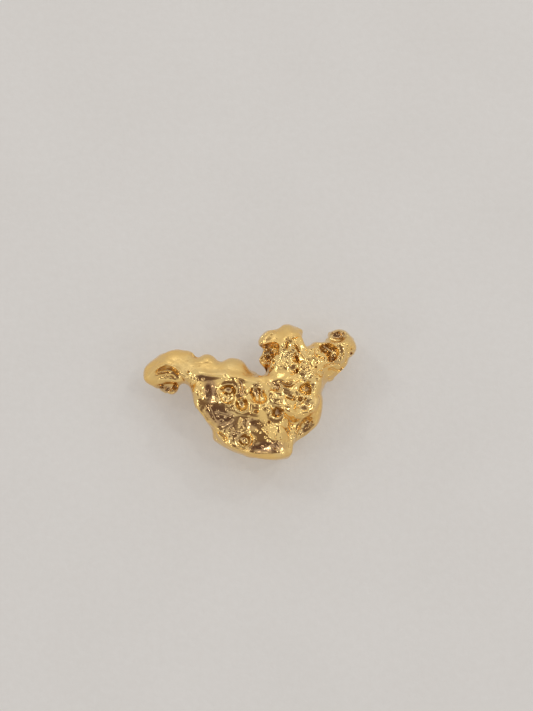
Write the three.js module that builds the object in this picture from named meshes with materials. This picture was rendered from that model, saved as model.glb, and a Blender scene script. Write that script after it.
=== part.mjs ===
// A small natural gold nugget, lying as it was found: an arm with a hooked tip on the left, a thick
// pitted belly, a rough crest and a hollow knob on the right. It is one solid piece of native gold.
// Millimetres, +Z up. X runs along the nugget, Y away from the viewer. The origin is on the worn flat
// spot under the belly, which the nugget rests on.

import * as THREE from 'three';
import { ImprovedNoise } from 'three/addons/math/ImprovedNoise.js';

// The nugget is drawn as it is seen from SIGHT degrees above the horizon. A drawing point [u, v] is in
// millimetres across the line of sight, u to the right and v up, and w runs along it to the viewer.
const SIGHT = 75.7;
const RISE = Math.sin(THREE.MathUtils.degToRad(SIGHT));
const LEAN = Math.cos(THREE.MathUtils.degToRad(SIGHT));

const GRAIN = 0.22; // side of the cells that the skin is spanned from
const LOW = [-6.9, -3.1, -1.6]; // the drawing's corners, nearest and farthest along u, v and w
const HIGH = [5.6, 5.3, 4.2];
const ROUNDS = 2; // how often the skin is evened out

const BLEND = 0.2; // how softly lumps and ridges flow into the body
const LIP = 0.1; // how softly a pit's edge is rounded
const MARGIN = 0.5; // how far past its half size a lump or pit can still be felt
const WORN = 0.03; // how softly the worn foot turns up into the sides

// Waves that roughen the whole skin, and where their pattern starts.
const WAVES = [{ length: 1.3, height: 0.07 }, { length: 0.5, height: 0.03 }];
const WAVE_START = [7.3, 3.1, 1.7];
// Coarser waves on the far side: how high they are there, and their share where the middle is.
const FAR_WAVES = { length: 0.95, height: 0.24, share: 0.35 };
const WOBBLE = { length: 0.45, by: 0.09 }; // how the outlines of lumps, ridges and pits wander

const GOLD = { color: 0xdca84a, roughness: 0.22, metalness: 1 };

// The silhouette, clockwise from the tip of the arm.
const OUTLINE = [
  // arm
  [-6.40, 1.83], [-6.38, 2.15], [-6.29, 2.42], [-6.02, 2.66], [-5.65, 2.88], [-5.38, 3.09],
  [-5.11, 3.24], [-4.78, 3.36], [-4.52, 3.39], [-4.25, 3.32], [-3.98, 3.32], [-3.74, 3.23],
  // band
  [-3.63, 3.04], [-3.47, 2.89], [-3.28, 2.96], [-3.12, 3.06], [-2.88, 3.09], [-2.63, 2.96],
  [-2.42, 2.76], [-2.20, 2.69], [-1.99, 2.80], [-1.72, 2.92], [-1.40, 2.90], [-1.13, 2.80],
  [-0.91, 2.63], [-0.78, 2.39], [-0.59, 2.19], [-0.27, 2.04], [0.05, 1.95],
  // crest
  [0.22, 2.04], [0.18, 2.26], [0.00, 2.47], [-0.17, 2.72], [-0.20, 2.90], [-0.06, 3.06],
  [0.00, 3.25], [0.08, 3.41], [-0.05, 3.53], [-0.24, 3.61], [-0.20, 3.84], [-0.09, 4.04],
  [0.08, 4.23], [0.32, 4.38], [0.54, 4.41], [0.75, 4.41], [0.94, 4.50], [1.05, 4.66],
  [1.29, 4.74], [1.53, 4.76], [1.69, 4.62], [1.88, 4.53], [2.07, 4.55], [2.20, 4.46],
  [2.22, 4.27], [2.15, 4.06], [2.22, 3.79], [2.34, 3.59], [2.49, 3.44],
  // knob
  [2.58, 3.64], [2.74, 3.80], [2.96, 3.87], [3.17, 3.79], [3.41, 3.83], [3.56, 3.98],
  [3.62, 4.19], [3.76, 4.35], [4.03, 4.45], [4.35, 4.45], [4.59, 4.34], [4.76, 4.14],
  [4.96, 3.89], [5.09, 3.63], [5.10, 3.39], [4.94, 3.15], [4.80, 2.93], [4.69, 2.74],
  [4.57, 2.53], [4.38, 2.31], [4.19, 2.13], [3.98, 1.94], [3.71, 1.75], [3.47, 1.67],
  // right side
  [3.39, 1.45], [3.25, 1.24], [3.16, 1.08], [3.22, 0.81], [3.24, 0.48], [3.21, 0.08],
  [3.13, -0.22], [3.03, -0.48], [2.88, -0.72], [2.63, -0.95], [2.37, -1.17], [2.12, -1.33],
  [1.85, -1.51],
  // belly
  [1.66, -1.67], [1.59, -1.96], [1.52, -2.20], [1.34, -2.38], [0.97, -2.49], [0.48, -2.51],
  [0.00, -2.46], [-0.48, -2.38], [-0.91, -2.28], [-1.34, -2.15], [-1.72, -2.01],
  // flake under the belly's left rim
  [-2.04, -1.87], [-2.31, -1.70], [-2.53, -1.52], [-2.65, -1.37], [-2.62, -1.17], [-2.66, -0.91],
  [-2.83, -0.67],
  // flank
  [-3.05, -0.32], [-3.28, 0.01], [-3.49, 0.28], [-3.60, 0.48], [-3.64, 0.73], [-3.74, 1.05],
  [-3.83, 1.32], [-3.98, 1.47],
  // hook
  [-4.18, 1.53], [-4.34, 1.46], [-4.41, 1.29], [-4.48, 1.09], [-4.62, 0.95], [-4.84, 0.90],
  [-5.05, 0.96], [-5.30, 1.11], [-5.59, 1.29], [-5.83, 1.40], [-6.05, 1.49], [-6.25, 1.62],
];

// What the nugget is like around each drawing point: the height of its middle above the ground, how
// far it swells to the viewer and away, the width of its rounded edge, and how square the edge is.
const MASSES = [
  // arm
  { at: [-6.0, 2.0], middle: 1.25, toViewer: 0.85, away: 0.8, edge: 0.7, square: 2.0 },
  { at: [-5.0, 1.15], middle: 0.85, toViewer: 0.55, away: 0.6, edge: 0.4, square: 2.0 },
  { at: [-4.7, 2.35], middle: 1.8, toViewer: 1.0, away: 0.95, edge: 0.8, square: 2.0 },
  { at: [-4.9, 3.05], middle: 1.6, toViewer: 0.7, away: 0.85, edge: 0.4, square: 2.0 },
  // far edge of the band, then its near edge
  { at: [-3.2, 2.85], middle: 1.75, toViewer: 0.75, away: 1.0, edge: 0.4, square: 2.0 },
  { at: [-2.1, 2.65], middle: 1.75, toViewer: 0.8, away: 1.1, edge: 0.4, square: 2.0 },
  { at: [-1.2, 2.7], middle: 1.75, toViewer: 0.75, away: 1.1, edge: 0.4, square: 2.0 },
  { at: [-0.3, 2.1], middle: 1.8, toViewer: 1.0, away: 1.2, edge: 0.5, square: 2.0 },
  { at: [-3.1, 1.8], middle: 1.85, toViewer: 1.25, away: 1.2, edge: 0.8, square: 2.0 },
  { at: [-1.6, 1.7], middle: 1.85, toViewer: 1.35, away: 1.85, edge: 0.9, square: 2.0 },
  { at: [0.1, 1.4], middle: 1.85, toViewer: 1.35, away: 2.1, edge: 0.9, square: 2.0 },
  // belly
  { at: [-2.9, 0.6], middle: 1.7, toViewer: 1.2, away: 1.15, edge: 0.42, square: 2.5 },
  { at: [-2.2, -0.5], middle: 1.65, toViewer: 1.2, away: 1.3, edge: 0.42, square: 2.5 },
  { at: [-0.9, -0.4], middle: 1.65, toViewer: 1.35, away: 1.85, edge: 0.7, square: 2.4 },
  { at: [0.15, -1.75], middle: 1.4, toViewer: 1.15, away: 1.2, edge: 0.5, square: 2.4 },
  { at: [-1.7, -1.2], middle: 1.6, toViewer: 1.2, away: 1.2, edge: 0.5, square: 2.5 },
  { at: [-2.5, -1.55], middle: 0.85, toViewer: 0.6, away: 0.5, edge: 0.4, square: 2.0 },
  // right side
  { at: [1.0, 0.65], middle: 1.8, toViewer: 1.4, away: 2.0, edge: 1.0, square: 2.0 },
  { at: [2.6, 0.65], middle: 1.6, toViewer: 1.25, away: 1.2, edge: 0.7, square: 2.0 },
  { at: [2.3, -0.9], middle: 1.3, toViewer: 0.85, away: 0.85, edge: 0.6, square: 2.0 },
  // crest
  { at: [0.2, 3.4], middle: 1.5, toViewer: 0.85, away: 0.8, edge: 0.5, square: 1.9 },
  { at: [1.5, 3.9], middle: 1.75, toViewer: 1.1, away: 1.05, edge: 0.6, square: 2.0 },
  { at: [1.2, 2.5], middle: 1.65, toViewer: 1.15, away: 1.45, edge: 0.7, square: 2.0 },
  { at: [2.5, 2.5], middle: 1.6, toViewer: 1.2, away: 1.3, edge: 0.7, square: 2.0 },
  // knob
  { at: [3.7, 3.4], middle: 1.45, toViewer: 1.3, away: 1.15, edge: 0.8, square: 1.9 },
  { at: [4.5, 3.7], middle: 1.3, toViewer: 1.1, away: 1.0, edge: 0.8, square: 1.9 },
  { at: [4.1, 2.4], middle: 1.0, toViewer: 0.9, away: 0.8, edge: 0.75, square: 1.9 },
];
const MASS_REACH = 0.75; // how far a mass has its say before its neighbours take over
const MASS_FAINT = 1e-6; // what say it keeps far away, where no mass is near

// Lumps, each with its half sizes across the line of sight and how far it rises from the skin.
const LUMPS = [
  { at: [-3.38, 1.12], half: [0.3, 0.36], rise: 0.22 }, // left cheek of the belly
  { at: [0.92, -1.0], half: [0.5, 0.62], rise: 0.24, turn: 10 }, // right cheek of the belly
  { at: [2.63, 3.23], half: [0.22, 0.24], rise: 0.2 },
  { at: [2.2, 2.42], half: [0.22, 0.2], rise: 0.2 },
  { at: [2.65, 2.18], half: [0.22, 0.3], rise: 0.22 },
  { at: [3.05, 1.82], half: [0.26, 0.22], rise: 0.2 },
  { at: [2.04, 1.1], half: [0.24, 0.2], rise: 0.2 },
  { at: [1.4, 0.42], half: [0.3, 0.22], rise: 0.2 },
  { at: [0.46, 1.06], half: [0.2, 0.26], rise: 0.16 },
  { at: [1.7, -0.22], half: [0.3, 0.2], rise: 0.16 },
  { at: [1.66, 3.36], half: [0.24, 0.28], rise: 0.16 },
  { at: [0.28, 4.02], half: [0.42, 0.24], rise: 0.12, turn: 25 }, // visor over the crest's hollow
];

// Ridges, each along a path, with its half width and how far it stands out of the skin.
const RIDGES = [
  // lip over the arm's hollow
  { path: [[-5.86, 2.1], [-5.48, 2.37], [-5.11, 2.54], [-4.62, 2.45], [-4.3, 2.2], [-4.03, 1.88]],
    half: 0.15, stands: 0.12 },
  // brow where the band turns down into the belly
  { path: [[-3.3, 1.94], [-2, 1.88], [-0.9, 1.74], [0, 1.7], [1.24, 1.7], [1.83, 1.9], [2.3, 2.3]],
    half: 0.25, stands: 0.02 },
  // rim between the belly and the flake
  { path: [[-3.47, 0.66], [-3.1, -0.02], [-2.5, -0.83], [-1.77, -1.53], [-0.86, -2.0]],
    half: 0.14, stands: 0.06 },
  // corner between the belly and the lens hollow
  { path: [[1.1, -0.35], [1.36, -1.0], [1.45, -1.5], [1.42, -2.05]], half: 0.22, stands: 0.08 },
  // swoosh across the right side
  { path: [[1.24, 0.14], [1.83, -0.02], [2.37, 0.02], [2.7, 0.25], [2.85, 0.68]],
    half: 0.2, stands: 0.2 },
  // arch and right edge of the crest
  { path: [[1.22, 3.75], [1.42, 4.0], [1.86, 4.05], [2.1, 3.62], [2.32, 3.06], [2.56, 2.5]],
    half: 0.18, stands: 0.14 },
  // lower lip of the knob's great pit
  { path: [[2.65, 2.9], [3.23, 2.78], [3.76, 2.67], [4.2, 2.84], [4.3, 3.28]],
    half: 0.16, stands: 0.12 },
  // bridge between the knob's two pits
  { path: [[3.0, 3.64], [3.5, 3.66], [4.05, 3.62], [4.5, 3.72]], half: 0.15, stands: 0.08 },
  // wall between the belly's pockets
  { path: [[-2.36, 1.3], [-2.28, 0.66], [-1.62, 0.36], [-1.15, 0.04], [-0.7, 0.2], [-0.66, 0.8]],
    half: 0.12, stands: 0.06 },
];

// Pits, each with its half sizes across the line of sight, its depth and how far it is turned.
const PITS = [
  { at: [-4.95, 1.92], half: [0.8, 0.5], depth: 0.3 }, // shelf under the arm's lip
  { at: [-5.0, 1.4], half: [0.5, 0.18], depth: 0.36 }, // slot below the shelf
  // pockets of the belly
  { at: [-1.85, 1.02], half: [0.52, 0.56], depth: 0.32 },
  { at: [-1.76, 1.22], half: [0.4, 0.28], depth: 0.42 },
  { at: [-0.3, 1.03], half: [0.42, 0.56], depth: 0.42, turn: 8 },
  { at: [0.08, 0.74], half: [0.2, 0.32], depth: 0.28 },
  { at: [-1.04, 0.42], half: [0.33, 0.34], depth: 0.22 },
  { at: [-0.89, -1.42], half: [0.32, 0.32], depth: 0.2 },
  { at: [-0.35, -0.56], half: [0.5, 0.34], depth: 0.16 },
  { at: [0.8, 0.02], half: [0.27, 0.35], depth: 0.28 },
  { at: [0.78, 1.33], half: [0.24, 0.24], depth: 0.24 },
  { at: [1.4, 0.86], half: [0.38, 0.17], depth: 0.2, turn: -18 },
  { at: [2.34, 1.26], half: [0.28, 0.3], depth: 0.45 },
  { at: [2.26, -0.86], half: [0.68, 0.31], depth: 0.38, turn: 58 }, // lens hollow
  // groove between the belly and the flake
  { at: [-2.36, -1.16], half: [0.56, 0.13], depth: 0.24, turn: -41 },
  // hollow of the crest, and the cleft at its foot
  { at: [0.42, 3.3], half: [0.52, 0.36], depth: 0.5, turn: 12 },
  { at: [0.22, 2.95], half: [0.32, 0.28], depth: 0.5 },
  { at: [0.26, 2.32], half: [0.12, 0.32], depth: 0.35, turn: -12 },
  { at: [1.8, 2.84], half: [0.17, 0.26], depth: 0.26 },
  { at: [1.7, 2.18], half: [0.24, 0.18], depth: 0.22 },
  // open hollows of the knob
  { at: [4.08, 4.06], half: [0.48, 0.3], depth: 0.56 },
  { at: [3.75, 4.12], half: [0.18, 0.17], depth: 0.3 },
  { at: [3.4, 3.42], half: [0.36, 0.28], depth: 0.5, turn: -35 },
  { at: [3.78, 3.2], half: [0.32, 0.3], depth: 0.48 },
  { at: [3.74, 2.86], half: [0.3, 0.16], depth: 0.42, turn: 5 },
];

// The far side, which lies on the ground: broader pits and lumps, worn smoother.
const FAR_LUMPS = [
  { at: [-2.3, -0.2], half: [0.7, 0.55], rise: 0.2, turn: -40 },
  { at: [1.9, -0.3], half: [0.6, 0.5], rise: 0.2 },
  { at: [1.5, 2.2], half: [0.6, 0.7], rise: 0.18 },
  { at: [3.6, 2.9], half: [0.6, 0.5], rise: 0.2 },
  { at: [-5.5, 2.1], half: [0.5, 0.4], rise: 0.16 },
  { at: [-3.0, 2.4], half: [0.6, 0.45], rise: 0.2, turn: 10 },
  { at: [0.4, -2.0], half: [0.8, 0.4], rise: 0.14 },
];
const FAR_PITS = [
  { at: [-2.3, 1.6], half: [0.42, 0.32], depth: 0.36, turn: 20 },
  { at: [-3.1, 0.9], half: [0.3, 0.36], depth: 0.28 },
  { at: [-0.9, 1.9], half: [0.34, 0.42], depth: 0.34 },
  { at: [-0.7, -1.6], half: [0.46, 0.26], depth: 0.26, turn: -20 },
  { at: [2.5, 0.7], half: [0.36, 0.5], depth: 0.34, turn: 15 },
  { at: [0.9, 3.5], half: [0.45, 0.36], depth: 0.3 },
  { at: [4.2, 3.5], half: [0.4, 0.36], depth: 0.3 },
  { at: [-4.4, 2.6], half: [0.44, 0.3], depth: 0.25, turn: -25 },
  { at: [1.6, -1.3], half: [0.32, 0.28], depth: 0.22, turn: 50 },
];

const heightOf = (v, w) => v * LEAN + w * RISE;

// The smaller and the larger of two distances, rounded off where they meet.
function softMin(a, b, soft) {
  const near = Math.max(soft - Math.abs(a - b), 0) / soft;
  return Math.min(a, b) - near * near * soft / 4;
}
const softMax = (a, b, soft) => -softMin(-a, -b, soft);

// A smooth line through drawing points, closed or open, with four steps from each point to the next.
function smoothLine(points, closed) {
  const bends = points.map(([u, v]) => new THREE.Vector3(u, v, 0));
  const curve = new THREE.CatmullRomCurve3(bends, closed, 'centripetal');
  return curve.getPoints(points.length * 4);
}

// Signed distance of a drawing point from the silhouette, below zero inside it.
function makeSilhouette(points) {
  const line = smoothLine(points, true);
  return (u, v) => {
    let nearest = Infinity;
    let inside = false;
    for (let i = 0; i + 1 < line.length; i++) {
      const a = line[i];
      const b = line[i + 1];
      const du = b.x - a.x;
      const dv = b.y - a.y;
      const along = ((u - a.x) * du + (v - a.y) * dv) / (du * du + dv * dv);
      const t = THREE.MathUtils.clamp(along, 0, 1);
      nearest = Math.min(nearest, Math.hypot(u - a.x - du * t, v - a.y - dv * t));
      if (a.y > v !== b.y > v && u < a.x + du * (v - a.y) / dv) inside = !inside;
    }
    return inside ? -nearest : nearest;
  };
}

// The blend of the masses around a drawing point.
function massAt(u, v) {
  const sum = { middle: 0, toViewer: 0, away: 0, edge: 0, square: 0 };
  let total = 0;
  for (const mass of MASSES) {
    const far = Math.hypot(u - mass.at[0], v - mass.at[1]) / MASS_REACH;
    const say = Math.exp(-far * far) + MASS_FAINT / (1 + far ** 4);
    total += say;
    for (const key in sum) sum[key] += say * mass[key];
  }
  for (const key in sum) sum[key] /= total;
  return sum;
}

const silhouette = makeSilhouette(OUTLINE);

// Everything about one drawing point that the skin needs: how far out of the silhouette it is, the
// mass there, where its middle lies along the line of sight, and where its near and far skins lie.
function column(u, v) {
  const out = silhouette(u, v);
  const mass = massAt(u, v);
  const middle = (mass.middle - v * LEAN) / RISE;
  const slope = Math.max(0, 1 + out / mass.edge);
  const full = slope < 1 ? (1 - slope ** mass.square) ** (1 / mass.square) : 0;
  return { mass, slope, middle, near: middle + mass.toViewer * full, far: middle - mass.away * full };
}

// The smooth body, before lumps, ridges and pits: below zero inside.
function body({ mass, slope, middle }, w) {
  const swell = w > middle ? mass.toViewer : mass.away;
  const height = Math.abs(w - middle) / swell;
  const reach = (height ** mass.square + slope ** mass.square) ** (1 / mass.square);
  return (reach - 1) * Math.min(swell, mass.edge);
}

// Signed distance from an ellipsoid, good enough near its surface.
function ellipsoid(du, dv, dw, half, depth, turn = 0) {
  const angle = THREE.MathUtils.degToRad(turn);
  const a = (du * Math.cos(angle) + dv * Math.sin(angle)) / half[0];
  const b = (dv * Math.cos(angle) - du * Math.sin(angle)) / half[1];
  const c = dw / depth;
  const size = Math.hypot(a, b, c);
  const slope = Math.hypot(a / half[0], b / half[1], c / depth);
  return slope > 0 ? size * (size - 1) / slope : -Math.min(...half, depth);
}

// Signed distance from a round tube along a line of points.
function tube(u, v, w, line, radius) {
  let nearest = Infinity;
  for (let i = 0; i + 1 < line.length; i++) {
    const a = line[i];
    const du = line[i + 1].x - a.x;
    const dv = line[i + 1].y - a.y;
    const along = ((u - a.x) * du + (v - a.y) * dv) / (du * du + dv * dv);
    const t = THREE.MathUtils.clamp(along, 0, 1);
    const dw = w - THREE.MathUtils.lerp(a.z, line[i + 1].z, t);
    nearest = Math.min(nearest, Math.hypot(u - a.x - du * t, v - a.y - dv * t, dw));
  }
  return nearest - radius;
}

// Where each feature sits along the line of sight is taken once from the smooth body: a pit's middle
// is on the skin, and of a lump or a ridge only the top stands out of the skin.
const boss = (lump, skin, side) => {
  const depth = (lump.half[0] + lump.half[1]) / 2;
  return { ...lump, depth, w: skin + side * (lump.rise - depth) };
};
const lumps = [
  ...LUMPS.map((lump) => boss(lump, column(...lump.at).near, 1)),
  ...FAR_LUMPS.map((lump) => boss(lump, column(...lump.at).far, -1)),
];
const pits = [
  ...PITS.map((pit) => ({ ...pit, w: column(...pit.at).near })),
  ...FAR_PITS.map((pit) => ({ ...pit, w: column(...pit.at).far })),
];
const ridges = RIDGES.map((ridge) => {
  const line = smoothLine(ridge.path, false);
  for (const p of line) p.z = column(p.x, p.y).near + ridge.stands - ridge.half;
  return { ...ridge, line };
});

const noise = new ImprovedNoise();

// A drawing point, moved a little so that no lump, ridge or pit has a ruled outline.
function wobble(u, v) {
  const { length, by } = WOBBLE;
  const shift = (layer) => by * noise.noise(u / length, v / length, layer);
  return [u + shift(0.5), v + shift(3.5)];
}

// The nugget as a field: below zero inside the gold, above zero outside. The ground ends it flat.
function gold(u0, v0, w, here) {
  const [u, v] = wobble(u0, v0);
  let depth = body(here, w);
  for (const lump of lumps) {
    const [du, dv, dw] = [u - lump.at[0], v - lump.at[1], w - lump.w];
    if (Math.hypot(du, dv) > Math.max(...lump.half) + MARGIN) continue;
    depth = softMin(depth, ellipsoid(du, dv, dw, lump.half, lump.depth, lump.turn), BLEND);
  }
  for (const ridge of ridges) {
    depth = softMin(depth, tube(u, v, w, ridge.line, ridge.half), BLEND);
  }
  for (const pit of pits) {
    const [du, dv, dw] = [u - pit.at[0], v - pit.at[1], w - pit.w];
    if (Math.hypot(du, dv) > Math.max(...pit.half) + MARGIN) continue;
    depth = softMax(depth, -ellipsoid(du, dv, dw, pit.half, pit.depth, pit.turn), LIP);
  }
  for (const { length, height } of WAVES) {
    const at = [u0, v0, w].map((value, axis) => value / length + WAVE_START[axis]);
    depth += height * noise.noise(...at);
  }
  const { length, height, share } = FAR_WAVES;
  const away = THREE.MathUtils.clamp(share + (here.middle - w) / here.mass.away, 0, 1);
  depth += height * away * noise.noise(u0 / length, v0 / length, w / length);
  return softMax(depth, -heightOf(v0, w), WORN);
}

const JUST_INSIDE = -1e-3;
const STEPS = [[1, 0, 0], [0, 1, 0], [0, 0, 1]];
const CUBE = [0, 1, 2, 3, 4, 5, 6, 7].map((n) => [n & 1, n >> 1 & 1, n >> 2 & 1]);

// Whether the corners of a cube that a set holds hang together along its edges.
function hangTogether(set) {
  let reached = set & -set;
  for (let round = 0; round < 7; round++) {
    for (let n = 0; n < 8; n++) {
      if (reached >> n & 1) reached |= set & (1 << (n ^ 1) | 1 << (n ^ 2) | 1 << (n ^ 4));
    }
  }
  return reached === set;
}

// Fills the cells that the skin would pass through twice, so that it touches itself nowhere.
function fillPinches(values, size, index) {
  let filled = false;
  for (let k = 0; k + 1 < size[2]; k++) {
    for (let j = 0; j + 1 < size[1]; j++) {
      for (let i = 0; i + 1 < size[0]; i++) {
        const places = CUBE.map(([p, q, r]) => index(i + p, j + q, k + r));
        const gold = places.reduce((set, place, n) => values[place] < 0 ? set | 1 << n : set, 0);
        if (hangTogether(gold) && hangTogether(255 - gold)) continue;
        const air = places.filter((place) => values[place] >= 0);
        const thinnest = air.reduce((a, b) => values[a] < values[b] ? a : b);
        values[thinnest] = JUST_INSIDE;
        filled = true;
      }
    }
  }
  return filled;
}

// Spans a closed skin over the field: one corner in each cell that the surface passes through, and
// one four-sided face round each cell edge that it crosses.
function skin(field, low, high, cell) {
  const size = low.map((from, axis) => Math.ceil((high[axis] - from) / cell) + 1);
  const index = (i, j, k) => i + size[0] * (j + size[1] * k);
  const values = new Float32Array(size[0] * size[1] * size[2]);
  for (let j = 0; j < size[1]; j++) {
    for (let i = 0; i < size[0]; i++) {
      const [u, v] = [low[0] + i * cell, low[1] + j * cell];
      const here = column(u, v);
      for (let k = 0; k < size[2]; k++) {
        values[index(i, j, k)] = field(u, v, low[2] + k * cell, here);
      }
    }
  }
  while (fillPinches(values, size, index));
  const corners = [];
  const cornerOf = new Map();
  for (let k = 0; k + 1 < size[2]; k++) {
    for (let j = 0; j + 1 < size[1]; j++) {
      for (let i = 0; i + 1 < size[0]; i++) {
        const sum = new THREE.Vector3();
        let crossings = 0;
        for (let axis = 0; axis < 3; axis++) {
          const [a, b] = [0, 1, 2].filter((other) => other !== axis);
          for (const [p, q] of [[0, 0], [0, 1], [1, 0], [1, 1]]) {
            const from = [i, j, k];
            from[a] += p;
            from[b] += q;
            const to = from.map((value, n) => value + STEPS[axis][n]);
            const [start, end] = [values[index(...from)], values[index(...to)]];
            if (start < 0 === end < 0) continue;
            const place = from.map((value, n) => value + STEPS[axis][n] * start / (start - end));
            sum.add(new THREE.Vector3(...place));
            crossings++;
          }
        }
        if (!crossings) continue;
        cornerOf.set(index(i, j, k), corners.length);
        corners.push(sum.divideScalar(crossings).multiplyScalar(cell).add(new THREE.Vector3(...low)));
      }
    }
  }
  const faces = [];
  for (let k = 1; k + 1 < size[2]; k++) {
    for (let j = 1; j + 1 < size[1]; j++) {
      for (let i = 1; i + 1 < size[0]; i++) {
        STEPS.forEach((step, axis) => {
          const start = values[index(i, j, k)];
          const end = values[index(i + step[0], j + step[1], k + step[2])];
          if (start < 0 === end < 0) return;
          const a = STEPS[(axis + 1) % 3];
          const b = STEPS[(axis + 2) % 3];
          const ring = [[0, 0], [1, 0], [1, 1], [0, 1]].map(([p, q]) => cornerOf.get(
            index(i - p * a[0] - q * b[0], j - p * a[1] - q * b[1], k - p * a[2] - q * b[2])));
          if (start > 0) ring.reverse();
          faces.push(ring);
        });
      }
    }
  }
  return { corners, faces };
}

// Evens the skin out: each corner moves halfway to the middle of its neighbours, and from there
// straight back onto the surface, never further than a third of a cell at a time.
function settle(corners, faces, field, cell) {
  const small = cell / 20; // step over which the field's slope is measured
  const leastSlope = 0.2; // stops a corner from jumping where the field is almost level
  const value = (x, y, z) => field(x, y, z, column(x, y));
  for (let round = 0; round < ROUNDS; round++) {
    const sums = corners.map(() => new THREE.Vector3());
    const counts = corners.map(() => 0);
    for (const face of faces) {
      face.forEach((corner, n) => {
        sums[corner].add(corners[face[(n + 1) % 4]]).add(corners[face[(n + 3) % 4]]);
        counts[corner] += 2;
      });
    }
    corners.forEach((p, n) => {
      p.lerp(sums[n].divideScalar(counts[n]), 0.5);
      for (let step = 0; step < 2; step++) {
        const here = value(p.x, p.y, p.z);
        const rise = new THREE.Vector3(
          value(p.x + small, p.y, p.z) - here,
          value(p.x, p.y + small, p.z) - here,
          value(p.x, p.y, p.z + small) - here).divideScalar(small);
        const move = rise.multiplyScalar(-here / Math.max(rise.lengthSq(), leastSlope));
        p.add(move.clampLength(0, cell / 3));
      }
    });
  }
}

// Lays the drawn nugget down on the ground. What all but touches the ground is worn flat.
function layDown(corner) {
  const away = corner.y * RISE - corner.z * LEAN;
  const height = heightOf(corner.y, corner.z);
  return new THREE.Vector3(corner.x, away, height < WORN ? 0 : height);
}

// How far the middle of a line between two corners is from the skin.
function offSkin(from, to) {
  const middle = from.clone().lerp(to, 0.5);
  return Math.abs(gold(middle.x, middle.y, middle.z, column(middle.x, middle.y)));
}

function buildNugget() {
  const { corners, faces } = skin(gold, LOW, HIGH, GRAIN);
  settle(corners, faces, gold, GRAIN);
  const placed = corners.map(layDown);
  const indices = [];
  for (const [a, b, c, d] of faces) {
    const across = offSkin(corners[a], corners[c]) < offSkin(corners[b], corners[d]);
    indices.push(...(across ? [a, b, c, a, c, d] : [a, b, d, b, c, d]));
  }
  const geometry = new THREE.BufferGeometry().setFromPoints(placed);
  geometry.setIndex(indices);
  geometry.computeVertexNormals();
  return geometry;
}

const nugget = new THREE.Mesh(buildNugget(), new THREE.MeshStandardMaterial(GOLD));
nugget.name = 'nugget';

const model = new THREE.Group();
model.add(nugget);

export default model;
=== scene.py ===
import math

import bpy
import numpy as np
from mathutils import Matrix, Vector


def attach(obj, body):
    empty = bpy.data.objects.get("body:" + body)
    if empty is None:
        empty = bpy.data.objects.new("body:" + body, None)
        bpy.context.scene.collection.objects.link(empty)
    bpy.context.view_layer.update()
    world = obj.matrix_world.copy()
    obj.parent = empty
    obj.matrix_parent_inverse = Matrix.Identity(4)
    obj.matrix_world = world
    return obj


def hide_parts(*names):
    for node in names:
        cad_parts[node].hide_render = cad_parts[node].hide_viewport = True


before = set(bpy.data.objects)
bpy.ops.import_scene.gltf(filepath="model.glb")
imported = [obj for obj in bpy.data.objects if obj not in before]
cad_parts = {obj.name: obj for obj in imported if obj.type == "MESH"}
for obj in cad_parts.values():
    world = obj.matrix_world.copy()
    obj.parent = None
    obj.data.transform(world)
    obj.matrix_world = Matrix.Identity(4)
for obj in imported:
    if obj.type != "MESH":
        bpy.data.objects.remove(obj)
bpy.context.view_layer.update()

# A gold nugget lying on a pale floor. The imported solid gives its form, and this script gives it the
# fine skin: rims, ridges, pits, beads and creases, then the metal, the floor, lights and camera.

millimetre = 0.001

# The camera stands as it stood for the photograph: how high, how steep, how long the lens.
photo = {
    "width": 533, "height": 711,
    "focalPixels": 1600.0,
    "elevation": math.radians(74.5),
    "cameraHeight": 84.3 * millimetre,
    "restPixel": (262.0, 412.0),  # where the nugget's resting spot shows
}

# The skin is drawn in millimetres across the line of sight to the nugget: u to the right, v up.
sightAngle = math.radians(75.7)
rise, lean = math.sin(sightAngle), math.cos(sightAngle)


def deselectAll():
    if bpy.context.object and bpy.context.object.mode != "OBJECT":
        bpy.ops.object.mode_set(mode="OBJECT")
    bpy.ops.object.select_all(action="DESELECT")


def makeActive(obj):
    deselectAll()
    obj.select_set(True)
    bpy.context.view_layer.objects.active = obj


def applyModifier(obj, kind, **values):
    makeActive(obj)
    modifier = obj.modifiers.new(kind.title(), kind)
    for name, value in values.items():
        setattr(modifier, name, value)
    bpy.ops.object.modifier_apply(modifier=modifier.name)


# camera

def makeCamera():
    steep = photo["elevation"]
    forward = Vector((0, math.cos(steep), -math.sin(steep)))
    right = Vector((1, 0, 0))
    up = right.cross(forward)
    sideways = photo["restPixel"][0] - photo["width"] / 2
    downwards = photo["restPixel"][1] - photo["height"] / 2
    toRest = forward * photo["focalPixels"] + right * sideways - up * downwards
    place = toRest * (photo["cameraHeight"] / toRest.z)
    data = bpy.data.cameras.new("camera")
    data.sensor_width = 36.0
    data.lens = photo["focalPixels"] / photo["height"] * data.sensor_width
    data.clip_start = millimetre
    data.clip_end = 10.0
    camera = bpy.data.objects.new("camera", data)
    camera.location = place
    camera.rotation_euler = (math.pi / 2 - steep, 0, 0)
    bpy.context.scene.collection.objects.link(camera)
    bpy.context.scene.camera = camera


# nodes

# sockets of the node that mixes two colours
mixShare, mixFirst, mixSecond, mixResult = 0, 6, 7, 2


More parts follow.
